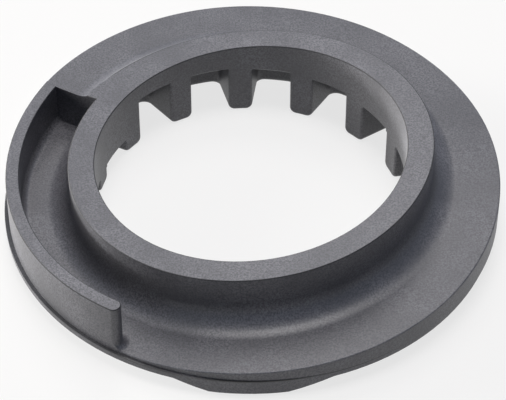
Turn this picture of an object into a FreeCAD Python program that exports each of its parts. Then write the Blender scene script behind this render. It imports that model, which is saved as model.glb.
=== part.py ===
import FreeCAD, Part
import math
import os

from FreeCAD import Base

# Rubber insulator that seats the end coil of a suspension spring, moulded in one piece.
# Millimetres, +Z up. The origin is the middle of the outline, in the plane of the feet.
# Azimuths are in degrees, counter-clockwise seen from above, with 0 along +X.
# The parts are built round the bore's axis, and the whole is then moved to the origin.

# Rings, from the bore outwards
bore_diameter = 88.6
collar_wall = 7.5           # tube that centres the coil
groove_width = 14.8         # room for the spring wire, measured with the lip centred
lip_wall = 3.8
flange_ledge = 0.3          # the flange's radius over the lip's
rim_offset = 0.9            # the mould's upper half, with the lip, sits this far towards +X
foot_wall = 6.0             # ring under the seat, outside the pockets

# Heights over the feet
top_height = 24.9           # collar top, on the bore's axis
top_tilt = 5.05             # the top leans down towards azimuth 180
flange_bottom = 3.7
flange_top = 5.8            # the mould's parting line
web_thickness = 3.8         # rubber left between the seat and a pocket
low_ceiling = 4.6           # height of the pockets under the level stretch

# Spring seat: level behind the lip, then climbing counter-clockwise to the stop
stop_azimuth = 150.5        # upright wall that the wire's end butts on
lip_end_azimuth = 238.9
seat_low = 6.6
climb = [                   # degrees past the lip's end, rise over the level stretch
    (0.0, 0.0),
    (24.0, 1.7),
    (55.0, 3.8),
    (85.0, 5.8),
    (110.0, 8.0),
    (130.0, 9.7),
    (160.0, 11.0),
    (190.0, 12.3),
    (230.0, 13.0),
]
climb_step = 6.0            # degrees between the points of the climb's curve
collar_root = 6.8           # fillets along the seat
lip_root = 2.2

# Pockets under the seat, open to the bore, with a rib between each two
rib_count = 15
first_rib_azimuth = 93.9
rib_width = 6.8             # at the bore
rib_corner = 1.0            # rounding round a rib's inner face
rib_foot_round = 2.0        # rounding along a rib's underside
pocket_depth = 12.9         # from the bore to a pocket's end wall
pocket_corner = 2.5
ceiling_chamfer = 0.8       # along the bore wall's lower edge

# Lug under the flange, which keeps the insulator from turning
lug_start = 253.0
lug_end = 288.6
lug_start_slope = 8.0       # degrees over which its clockwise end slopes up to the flange
lug_end_slope = 10.1
lug_bottom = 0.7

full_turn = 360.0
half_turn = full_turn / 2

bore_radius = bore_diameter / 2
collar_radius = bore_radius + collar_wall
lip_inner_radius = collar_radius + groove_width
lip_radius = lip_inner_radius + lip_wall
flange_radius = lip_radius + flange_ledge
pocket_reach = bore_radius + pocket_depth            # radius of the pockets' end walls
foot_radius = pocket_reach + foot_wall
foot_middle = pocket_reach + foot_wall / 2           # where the flange, rim and lug join the foot ring
pocket_width = 2 * bore_radius * math.sin(math.pi / rib_count) - rib_width
rise_end = climb[-1][1]
stop_turn = (stop_azimuth - lip_end_azimuth) % full_turn   # from the lip's end round to the stop
high = top_height + flange_radius                    # clear of the leaning top at any radius
overshoot = 5.0                                      # how far a cutting solid runs past the rubber
touching = 0.01                                      # two lengths this close are taken as one
just_short = 1 - 1e-9                                # keeps the climb's last point before the stop
arc_share = 1 - math.sqrt(0.5)                       # place of a quarter arc's middle, of its radius

origin = Base.Vector(0, 0, 0)
up = Base.Vector(0, 0, 1)
to_rim = Base.Vector(rim_offset, 0, 0)


def at_azimuth(radius, azimuth, height=0.0):
    angle = math.radians(azimuth)
    return Base.Vector(radius * math.cos(angle), radius * math.sin(angle), height)


def turned(shape, azimuth):
    return shape.rotated(origin, up, azimuth)


def ring(outline, start=0.0, end=full_turn):
    """Revolve an outline of (radius, height) points from one azimuth to another."""
    points = [Base.Vector(radius, 0, height) for radius, height in outline]
    face = Part.Face(Part.makePolygon(points + points[:1]))
    return turned(face.revolve(origin, up, end - start), start)


def tube(inner, outer, low, top, start=0.0, end=full_turn):
    return ring([(inner, low), (outer, low), (outer, top), (inner, top)], start, end)


def radii(edge):
    return [math.hypot(vertex.X, vertex.Y) for vertex in edge.Vertexes]


def seat_height(azimuth):
    """Height of the seat, on a smooth curve through the stations of the climb."""
    past = (azimuth - lip_end_azimuth) % full_turn
    if past > stop_turn:
        return seat_low
    if past >= climb[-1][0]:
        return seat_low + rise_end
    slopes = [0.0]
    for before, after in zip(climb, climb[2:]):
        slopes.append((after[1] - before[1]) / (after[0] - before[0]))
    slopes.append(0.0)
    index = max(number for number, station in enumerate(climb) if station[0] <= past)
    start, low = climb[index]
    end, top = climb[index + 1]
    span = end - start
    share = (past - start) / span
    blend = share * share * (3 - 2 * share)
    bend = share * (1 - share) * span
    bend *= slopes[index] * (1 - share) - slopes[index + 1] * share
    return seat_low + low + (top - low) * blend + bend


def seat_section():
    """Outline of the space over the level stretch, with the collar's root fillet."""
    outside = flange_radius + rim_offset + overshoot
    wall_top = Base.Vector(collar_radius, 0, seat_low + high)
    wall_foot = Base.Vector(collar_radius, 0, seat_low + collar_root)
    bend = Base.Vector(collar_radius + collar_root * arc_share, 0, seat_low + collar_root * arc_share)
    floor_start = Base.Vector(collar_radius + collar_root, 0, seat_low)
    floor_end = Base.Vector(outside, 0, seat_low)
    outer_top = Base.Vector(outside, 0, seat_low + high)
    return Part.Wire([
        Part.LineSegment(wall_top, wall_foot).toShape(),
        Part.Arc(wall_foot, bend, floor_start).toShape(),
        Part.LineSegment(floor_start, floor_end).toShape(),
        Part.LineSegment(floor_end, outer_top).toShape(),
        Part.LineSegment(outer_top, wall_top).toShape(),
    ])


def level_space():
    """Space over the level stretch, from the stop to the lip's end."""
    face = Part.Face(seat_section())
    return turned(face.revolve(origin, up, full_turn - stop_turn), stop_azimuth)


def climbing_space():
    """Space over the climb, from the lip's end round to the stop."""
    steps = math.ceil(stop_turn / climb_step)
    points = []
    for step in range(steps + 1):
        past = stop_turn * step / steps * just_short
        azimuth = lip_end_azimuth + past
        points.append(at_azimuth(collar_radius, azimuth, seat_height(azimuth)))
    path = Part.BSplineCurve()
    path.interpolate(points)
    sweep = Part.BRepOffsetAPI.MakePipeShell(Part.Wire(path.toShape()))
    sweep.setBiNormalMode(up)
    sweep.add(turned(seat_section(), lip_end_azimuth))
    sweep.build()
    sweep.makeSolid()
    return sweep.shape()


def lip_nose():
    """Centre of the lip's rounded free end, as a radius and an azimuth about the rim."""
    middle = lip_inner_radius + lip_wall / 2
    return middle, lip_end_azimuth - math.degrees(lip_wall / 2 / middle)


def lip_end():
    """The lip's free end, fully rounded."""
    middle, end = lip_nose()
    return Part.makeCylinder(lip_wall / 2, high, at_azimuth(middle, end), up).translated(to_rim)


def lip():
    """Upright lip round the level stretch, rooted behind the stop."""
    wall = tube(lip_inner_radius, lip_radius, 0, high, stop_azimuth - climb_step, lip_nose()[1])
    return wall.translated(to_rim).fuse(lip_end())


def lip_fillet():
    """Fillet at the foot of the lip, along its inside and round its free end."""
    middle, end = lip_nose()
    sink = lip_root / 4         # how far the fillet's solid reaches into the floor and the wall
    foot = Base.Vector(lip_root, 0, 0)
    bend = Base.Vector(lip_root * arc_share, 0, lip_root * arc_share)
    head = Base.Vector(0, 0, lip_root)
    corners = [head, Base.Vector(-sink, 0, lip_root), Base.Vector(-sink, 0, -sink),
               Base.Vector(lip_root, 0, -sink), foot]
    edges = [Part.LineSegment(first, last).toShape() for first, last in zip(corners, corners[1:])]
    section = Part.Face(Part.Wire(edges + [Part.Arc(foot, bend, head).toShape()]))
    along = section.mirror(origin, Base.Vector(1, 0, 0))
    along = along.translated(Base.Vector(lip_inner_radius, 0, seat_low))
    along = turned(along.revolve(origin, up, end - stop_azimuth), stop_azimuth)
    nose = section.translated(Base.Vector(lip_wall / 2, 0, seat_low))
    nose = turned(nose.revolve(origin, up, half_turn), end).translated(at_azimuth(middle, end))
    inside = tube(bore_radius, lip_radius, 0, high)
    return along.fuse(nose).common(inside).translated(to_rim)


def lug():
    """Block under the flange, both its ends sloping up."""
    block = tube(foot_middle, flange_radius, lug_bottom, flange_top, lug_start, lug_end)
    for azimuth, slope, side in ((lug_start, lug_start_slope, -1), (lug_end, lug_end_slope, 1)):
        run = flange_radius * math.radians(slope)
        angle = math.degrees(math.atan2(flange_bottom - lug_bottom, run))
        below = Part.makeBox(2 * flange_radius, 2 * run, high, Base.Vector(0, -run, -high))
        below = below.rotated(origin, Base.Vector(1, 0, 0), side * angle)
        block = block.cut(turned(below.translated(Base.Vector(0, 0, flange_bottom)), azimuth))
    return block


def blank():
    """Solid ring with its foot ring, flange and lug, before the pockets and the seat."""
    core = tube(bore_radius, foot_radius, 0, high, first_rib_azimuth, first_rib_azimuth + full_turn)
    flange = tube(foot_middle, flange_radius, flange_bottom, flange_top)
    rim = tube(foot_middle, lip_radius, flange_top, high).translated(to_rim)
    return core.fuse(flange.fuse(lug())).fuse(rim)


def pocket_ceiling(azimuth):
    return max(seat_height(azimuth) - web_thickness, low_ceiling)


def pocket(azimuth):
    """Parallel-sided pocket that runs outwards from the bore, with its ceiling under the seat."""
    depth = pocket_ceiling(azimuth) + overshoot
    box = Part.makeBox(pocket_reach, pocket_width, depth, Base.Vector(0, -pocket_width / 2, -overshoot))
    space = box.common(Part.makeCylinder(pocket_reach, depth, Base.Vector(0, 0, -overshoot), up))
    corners = [edge for edge in space.Edges
               if edge.BoundBox.ZLength > depth / 2 and min(radii(edge)) > pocket_reach - touching]
    return turned(space.makeFillet(pocket_corner, corners), azimuth)


def pocket_bevel(azimuth):
    """Chamfer of the bore wall's lower edge, over a pocket's mouth."""
    ceiling = pocket_ceiling(azimuth)
    bevel = ring([
        (bore_radius - ceiling_chamfer, ceiling - ceiling_chamfer),
        (bore_radius + ceiling_chamfer, ceiling - ceiling_chamfer),
        (bore_radius + ceiling_chamfer, ceiling),
        (bore_radius - ceiling_chamfer, ceiling + 2 * ceiling_chamfer),
    ])
    mouth = Part.makeBox(pocket_reach, pocket_width, high, Base.Vector(0, -pocket_width / 2, 0))
    return turned(bevel.common(mouth), azimuth)


def rounded_feet(body):
    """Round the ribs' undersides and inner faces."""
    undersides = [edge for edge in body.Edges
                  if edge.BoundBox.ZMax < touching
                  and min(radii(edge)) < bore_radius + touching
                  and max(radii(edge)) > bore_radius + touching]
    body = body.makeFillet(rib_foot_round, undersides)
    corners = [edge for edge in body.Edges
               if edge.BoundBox.ZLength > touching
               and edge.BoundBox.ZMax < seat_low + rise_end
               and max(radii(edge)) < bore_radius + touching]
    body = body.makeFillet(rib_corner, corners)
    return body


def above_top():
    """Everything over the leaning top plane."""
    size = 2 * high
    block = Part.makeBox(2 * size, 2 * size, size, Base.Vector(-size, -size, 0))
    block = block.rotated(origin, Base.Vector(0, -1, 0), top_tilt)
    return block.translated(Base.Vector(0, 0, top_height))


def spring_insulator():
    body = blank()
    pocket_azimuths = [first_rib_azimuth + (number + 0.5) * full_turn / rib_count for number in range(rib_count)]
    for azimuth in pocket_azimuths:
        body = body.cut(pocket(azimuth))
    body = rounded_feet(body)
    for azimuth in pocket_azimuths:
        body = body.cut(pocket_bevel(azimuth))
    body = body.cut(level_space().cut(lip()))
    body = body.cut(climbing_space().cut(lip_end()))
    body = body.fuse(lip_fillet())
    body = body.cut(above_top())
    outline_middle = (lip_radius + rim_offset - flange_radius) / 2
    return body.translated(Base.Vector(-outline_middle, 0, 0))


insulator = spring_insulator()
os.makedirs("parts", exist_ok=True)
insulator.exportStep("parts/spring_insulator.step")
box = insulator.optimalBoundingBox()
print("spring_insulator", insulator.isValid(), len(insulator.Solids), "solid", round(insulator.Volume), "mm3")
print("size", round(box.XLength, 2), round(box.YLength, 2), round(box.ZLength, 2))
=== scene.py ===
import math

import bmesh
import bpy
from mathutils import Euler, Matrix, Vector


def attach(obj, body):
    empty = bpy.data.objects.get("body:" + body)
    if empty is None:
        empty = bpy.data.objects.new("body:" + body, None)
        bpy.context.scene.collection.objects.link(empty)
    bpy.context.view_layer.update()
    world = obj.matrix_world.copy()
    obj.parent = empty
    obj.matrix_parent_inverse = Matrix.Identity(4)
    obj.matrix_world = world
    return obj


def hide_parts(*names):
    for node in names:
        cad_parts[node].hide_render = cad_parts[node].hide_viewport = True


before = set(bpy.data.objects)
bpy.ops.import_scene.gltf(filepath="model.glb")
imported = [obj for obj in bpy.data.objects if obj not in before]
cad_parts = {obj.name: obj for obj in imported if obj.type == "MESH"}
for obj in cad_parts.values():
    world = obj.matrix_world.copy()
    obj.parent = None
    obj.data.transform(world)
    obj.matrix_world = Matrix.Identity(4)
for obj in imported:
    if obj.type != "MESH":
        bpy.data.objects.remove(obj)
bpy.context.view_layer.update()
scene = bpy.context.scene
print("frame loaded:", ", ".join(sorted(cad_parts)))

mm = 0.001
white = (1, 1, 1, 1)
mixShare, mixFirst, mixSecond, mixResult = 0, 6, 7, 2    # sockets of a Mix node that mixes colours


def linearFromHex(code):
    channels = []
    for start in (0, 2, 4):
        value = int(code[start:start + 2], 16) / 255
        channels.append(value / 12.92 if value <= 0.04045 else ((value + 0.055) / 1.055) ** 2.4)
    return (*channels, 1.0)


# A key is a socket's name or number, or else one of the node's own settings
def addNode(tree, kind, settings=None, links=None):
    node = tree.nodes.new(kind)
    for key, value in (settings or {}).items():
        if isinstance(key, int) or key in node.inputs:
            node.inputs[key].default_value = value
        else:
            setattr(node, key, value)
    for key, socket in (links or {}).items():
        tree.links.new(socket, node.inputs[key])
    return node


def newMaterial(name):
    material = bpy.data.materials.new(name)
    material.use_nodes = True
    tree = material.node_tree
    tree.nodes.clear()
    return material, tree


# The insulator is a copy of the solid with the small radii that a mould's edges leave
insulatorBody = {
    "mergeGap": 0.002,       # mm, corners of the solid's loose triangles closer than this are one
    "flatWithin": 0.6,       # degrees, triangles that lie this flat are one face
    "sharpOver": 35.0,       # degrees, only edges sharper than this are rounded
    "smoothUnder": 30.0,     # degrees, edges flatter than this are shaded smooth
    "topTilt": 5.05,         # degrees by which the top leans down towards -X
    "topEdge": 0.25,         # mm, radius along the top's edges, where the flash was trimmed
    "rimEdge": 0.4,          # mm, radius along the rim's upper and lower edges
    "rimRadius": 69.5,       # mm, everything past this is the rim
    "topLowest": 18.0,       # mm, the top's edges are all over this height
    "ledge": (5.0, 6.2),     # mm, the narrow ledge at the parting line stays crisp between these heights
    "roundSteps": 3,
}


def isTopEdge(edge):
    lean = math.radians(insulatorBody["topTilt"])
    near = math.radians(insulatorBody["flatWithin"])
    topNormal = Vector((-math.sin(lean), 0, math.cos(lean)))
    if min(vert.co.z for vert in edge.verts) < insulatorBody["topLowest"] * mm:
        return False
    return any(face.normal.angle(topNormal) < near for face in edge.link_faces)


def isRimEdge(edge):
    low, high = (height * mm for height in insulatorBody["ledge"])
    if min(vert.co.xy.length for vert in edge.verts) < insulatorBody["rimRadius"] * mm:
        return False
    return all(vert.co.z < low for vert in edge.verts) or all(vert.co.z > high for vert in edge.verts)


def roundEdges(shape, belongs, radius):
    sharp = math.radians(insulatorBody["sharpOver"])
    chosen = [edge for edge in shape.edges if edge.calc_face_angle(0) > sharp and belongs(edge)]
    rounded = bmesh.ops.bevel(shape, geom=chosen, affect="EDGES", offset=radius * mm,
                              segments=insulatorBody["roundSteps"], profile=0.5, material=-1,
                              clamp_overlap=False)
    print("rounded", len(chosen), "edges to", radius, "mm")
    return rounded["faces"]


def buildInsulator(node):
    shape = bmesh.new()
    shape.from_mesh(node.data)
    shape.transform(node.matrix_world)
    bmesh.ops.remove_doubles(shape, verts=shape.verts, dist=insulatorBody["mergeGap"] * mm)
    bmesh.ops.dissolve_limit(shape, verts=shape.verts, edges=shape.edges,
                             angle_limit=math.radians(insulatorBody["flatWithin"]))
    # Marks the rounded top edges, which the rubber's material paints darker as painted shade and makes
    # rougher
    topEdgeMark = shape.faces.layers.float.new("roundedTopEdge")    # the rubber's material reads it
    for face in roundEdges(shape, isTopEdge, insulatorBody["topEdge"]):
        face[topEdgeMark] = 1.0
    roundEdges(shape, isRimEdge, insulatorBody["rimEdge"])
    for face in shape.faces:
        face.smooth = True
    for edge in shape.edges:
        edge.smooth = edge.calc_face_angle(0) < math.radians(insulatorBody["smoothUnder"])
    mesh = bpy.data.meshes.new("insulatorBody")
    shape.to_mesh(mesh)
    shape.free()
    mesh.materials.append(mouldedRubber())
    piece = bpy.data.objects.new("insulatorBody", mesh)
    scene.collection.objects.link(piece)
    flats = piece.modifiers.new("flatsStayFlat", "WEIGHTED_NORMAL")
    flats.keep_sharp = True
    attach(piece, "root")
    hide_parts("spring_insulator")
    print("insulator built:", len(mesh.polygons), "faces")


# Rubber filled with carbon black, press moulded: near black, with a dull sheen and a little pale bloom on it
rubber = {
    "colour": "424246",
    "bloom": "6e6e74",
    "paintedShade": "1b1b1d",             # painted shade in the parting line and along the rounded top edges
    "ior": 1.52,
    "roughness": 0.44,
    "shine": 0.6,                 # waxes that bloom out of the rubber make it shine more than its IOR says
    "grain": 0.5,                 # mm, coarser than the real bloom's grain so that it shows
    "grainDetail": 3.0,
    "grainRoughness": 0.6,
    "grainSpread": (0.38, 0.62),  # part of the noise that runs from bare rubber to full bloom
    "grainDepth": 0.09,           # mm
    "grainBump": 0.5,
    "mottle": 14.0,               # mm, over which the bloom gets thicker and thinner
    "mottleDetail": 2.0,
    "mottleSpread": (0.3, 0.7),
    "mottleLeast": 0.35,          # share of the bloom that is left where it is thinnest
    "topEdgeRoughness": 0.8,
    "topEdgeShadeShare": 0.9,           # share of painted shade along the rounded top edges, where the flash was trimmed
    "seamHeight": 5.62,           # mm, middle of the line of painted shadow in the parting line
    "seamHalf": 0.2,              # mm
    "seamRadius": 69.3,           # mm, only the rim has the line
    "seamPatch": 22.0,            # mm, over which the painted shadow comes and goes
    "seamDetail": 1.0,
    "seamSpread": (0.4, 0.55),
    "seamLeast": 0.35,
}


def mouldedRubber():
    material, tree = newMaterial("pressMouldedRubber")
    place = addNode(tree, "ShaderNodeTexCoord").outputs["Object"]
    grain = addNode(tree, "ShaderNodeTexNoise",
                    {"Scale": 1 / (rubber["grain"] * mm), "Detail": rubber["grainDetail"],
                     "Roughness": rubber["grainRoughness"]},
                    {"Vector": place})
    mottle = addNode(tree, "ShaderNodeTexNoise",
                     {"Scale": 1 / (rubber["mottle"] * mm), "Detail": rubber["mottleDetail"]},
                     {"Vector": place})
    low, high = rubber["grainSpread"]
    speck = addNode(tree, "ShaderNodeMapRange", {"From Min": low, "From Max": high},
                    {"Value": grain.outputs["Fac"]})
    low, high = rubber["mottleSpread"]
    patch = addNode(tree, "ShaderNodeMapRange",
                    {"From Min": low, "From Max": high, "To Min": rubber["mottleLeast"]},
                    {"Value": mottle.outputs["Fac"]})
    share = addNode(tree, "ShaderNodeMath", {"operation": "MULTIPLY"},
                    {0: speck.outputs["Result"], 1: patch.outputs["Result"]})
    bloomed = addNode(tree, "ShaderNodeMix",
                      {"data_type": "RGBA", mixFirst: linearFromHex(rubber["colour"]),
                       mixSecond: linearFromHex(rubber["bloom"])},
                      {mixShare: share.outputs["Value"]})
    # Painted shade: the rounded top edges and the parting line are darkened in the rubber's colour
    topEdgeMark = addNode(tree, "ShaderNodeAttribute", {"attribute_name": "roundedTopEdge"}).outputs["Fac"]
    edgePaintedShade = addNode(tree, "ShaderNodeMath", {"operation": "MULTIPLY", 1: rubber["topEdgeShadeShare"]},
                       {0: topEdgeMark})
    anyPaintedShade = addNode(tree, "ShaderNodeMath", {"operation": "MAXIMUM"},
                      {0: seamPaintedShade(tree, place), 1: edgePaintedShade.outputs["Value"]})
    withPaintedShade = addNode(tree, "ShaderNodeMix", {"data_type": "RGBA", mixSecond: linearFromHex(rubber["paintedShade"])},
                    {mixShare: anyPaintedShade.outputs["Value"], mixFirst: bloomed.outputs[mixResult]})
    bump = addNode(tree, "ShaderNodeBump",
                   {"Strength": rubber["grainBump"], "Distance": rubber["grainDepth"] * mm},
                   {"Height": grain.outputs["Fac"]})
    dull = addNode(tree, "ShaderNodeMapRange",
                   {"To Min": rubber["roughness"], "To Max": rubber["topEdgeRoughness"]}, {"Value": topEdgeMark})
    shader = addNode(tree, "ShaderNodeBsdfPrincipled",
                     {"IOR": rubber["ior"], "Specular IOR Level": rubber["shine"]},
                     {"Base Color": withPaintedShade.outputs[mixResult], "Roughness": dull.outputs["Result"],
                      "Normal": bump.outputs["Normal"]})
    addNode(tree, "ShaderNodeOutputMaterial", links={"Surface": shader.outputs["BSDF"]})
    return material


# A painted shadow: a dark line along the rim at the parting line, fading in and out in patches
def seamPaintedShade(tree, place):
    flat = addNode(tree, "ShaderNodeVectorMath", {"operation": "MULTIPLY", 1: (1, 1, 0)}, {0: place})
    radius = addNode(tree, "ShaderNodeVectorMath", {"operation": "LENGTH"}, {0: flat.outputs["Vector"]})
    onRim = addNode(tree, "ShaderNodeMath", {"operation": "GREATER_THAN", 1: rubber["seamRadius"] * mm},
                    {0: radius.outputs["Value"]})
    height = addNode(tree, "ShaderNodeSeparateXYZ", links={"Vector": place})
    nearLine = addNode(tree, "ShaderNodeMath",
                       {"operation": "COMPARE", 1: rubber["seamHeight"] * mm, 2: rubber["seamHalf"] * mm},
                       {0: height.outputs["Z"]})
    patches = addNode(tree, "ShaderNodeTexNoise",
                      {"Scale": 1 / (rubber["seamPatch"] * mm), "Detail": rubber["seamDetail"]},
                      {"Vector": place})
    low, high = rubber["seamSpread"]
    fading = addNode(tree, "ShaderNodeMapRange",
                     {"From Min": low, "From Max": high, "To Min": rubber["seamLeast"]},
                     {"Value": patches.outputs["Fac"]})
    line = addNode(tree, "ShaderNodeMath", {"operation": "MULTIPLY"},
                   {0: onRim.outputs["Value"], 1: nearLine.outputs["Value"]})
    paintedShade = addNode(tree, "ShaderNodeMath", {"operation": "MULTIPLY"},
                   {0: line.outputs["Value"], 1: fading.outputs["Result"]})
    return paintedShade.outputs["Value"]


buildInsulator(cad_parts["spring_insulator"])


studio = {
    "floorSize": 6.0,          # m
    "floorDrop": 0.1,          # mm under the feet, so that the two planes don't share a height
    "floorColour": "dcdcdc",
    "floorGlow": 0.75,         # share of plain white that the camera and reflections see in the floor
    "lampReach": 1.3,          # m from the part to each lamp
    "backdropColour": "d4e4ff",
    "backdropStrength": 0.62,  # pale blue-grey, to the camera and in reflections
    "fillStrength": 0.08,      # light that the backdrop throws on the part
}
lamps = [                      # azimuth and elevation in degrees, width and height in m, power in W
    {"name": "overheadSoftbox", "azimuth": 90, "elevation": 88,
     "size": (0.6, 0.6), "power": 10.0, "colour": "fffbf9"},
    {"name": "rearSoftbox", "azimuth": 90, "elevation": 57,
     "size": (0.6, 0.6), "power": 4.5, "colour": "fffbf9"},
    {"name": "rearLeftStrip", "azimuth": 150, "elevation": 4,
     "size": (0.6, 0.12), "power": 38.0, "colour": "fffdf8"},
    {"name": "leftSoftbox", "azimuth": 165, "elevation": 15,
     "size": (0.5, 0.5), "power": 11.5, "colour": "fffaf0"},
]


def cameraAndMirrorRays(tree):
    rays = addNode(tree, "ShaderNodeLightPath")
    mirrored = addNode(tree, "ShaderNodeMath", {"operation": "MAXIMUM"},
                       {0: rays.outputs["Is Glossy Ray"], 1: rays.outputs["Is Transmission Ray"]})
    seen = addNode(tree, "ShaderNodeMath", {"operation": "MAXIMUM"},
                   {0: rays.outputs["Is Camera Ray"], 1: mirrored.outputs["Value"]})
    return seen.outputs["Value"]


def paleFloor():
    material, tree = newMaterial("paleFloor")
    surface = addNode(tree, "ShaderNodeBsdfDiffuse", {"Color": linearFromHex(studio["floorColour"])})
    glow = addNode(tree, "ShaderNodeEmission", {"Color": white, "Strength": 1.0})
    share = addNode(tree, "ShaderNodeMath", {"operation": "MULTIPLY", 1: studio["floorGlow"]},
                    {0: cameraAndMirrorRays(tree)})
    mix = addNode(tree, "ShaderNodeMixShader",
                  links={0: share.outputs["Value"], 1: surface.outputs["BSDF"], 2: glow.outputs["Emission"]})
    addNode(tree, "ShaderNodeOutputMaterial", links={"Surface": mix.outputs["Shader"]})
    return material


def buildFloor():
    shape = bmesh.new()
    bmesh.ops.create_grid(shape, x_segments=1, y_segments=1, size=studio["floorSize"] / 2)
    bmesh.ops.translate(shape, verts=shape.verts, vec=(0, 0, -studio["floorDrop"] * mm))
    mesh = bpy.data.meshes.new("floor")
    shape.to_mesh(mesh)
    shape.free()
    mesh.materials.append(paleFloor())
    floor = bpy.data.objects.new("floor", mesh)
    scene.collection.objects.link(floor)


def hangLamp(lamp):
    data = bpy.data.lights.new(lamp["name"], "AREA")
    data.shape = "ELLIPSE"
    data.size, data.size_y = lamp["size"]
    data.energy = lamp["power"]
    data.color = linearFromHex(lamp["colour"])[:3]
    turn = Euler((0, -math.radians(lamp["elevation"]), math.radians(lamp["azimuth"])))
    holder = bpy.data.objects.new(lamp["name"], data)
    holder.location = turn.to_matrix() @ Vector((studio["lampReach"], 0, 0))
    holder.rotation_euler = (-holder.location).to_track_quat("-Z", "Y").to_euler()
    scene.collection.objects.link(holder)


def paleRoom():
    world = bpy.data.worlds.new("paleRoom")
    world.use_nodes = True
    tree = world.node_tree
    tree.nodes.clear()
    pale = linearFromHex(studio["backdropColour"])
    fill = addNode(tree, "ShaderNodeBackground", {"Color": pale, "Strength": studio["fillStrength"]})
    backdrop = addNode(tree, "ShaderNodeBackground", {"Color": pale, "Strength": studio["backdropStrength"]})
    mix = addNode(tree, "ShaderNodeMixShader",
                  links={0: cameraAndMirrorRays(tree), 1: fill.outputs["Background"],
                         2: backdrop.outputs["Background"]})
    addNode(tree, "ShaderNodeOutputWorld", links={"Surface": mix.outputs["Shader"]})
    return world


def buildStudio():
    buildFloor()
    for lamp in lamps:
        hangLamp(lamp)
    scene.world = paleRoom()
    print("studio built")


view = {
    "location": (0.00050, -0.45605, 0.44800),
    "tilt": 45.80,           # degrees from straight down
    "lens": 156.52,          # mm
    "sensor": 36.0,          # mm wide
    "nearest": 0.01,         # m
}


def placeCamera():
    data = bpy.data.cameras.new("camera")
    data.sensor_width = view["sensor"]
    data.lens = view["lens"]
    data.clip_start = view["nearest"]
    camera = bpy.data.objects.new("camera", data)
    camera.location = view["location"]
    camera.rotation_euler = (math.radians(view["tilt"]), 0, 0)
    scene.collection.objects.link(camera)
    scene.camera = camera
    print("camera placed")


buildStudio()
placeCamera()
scene.view_settings.view_transform = "Standard"
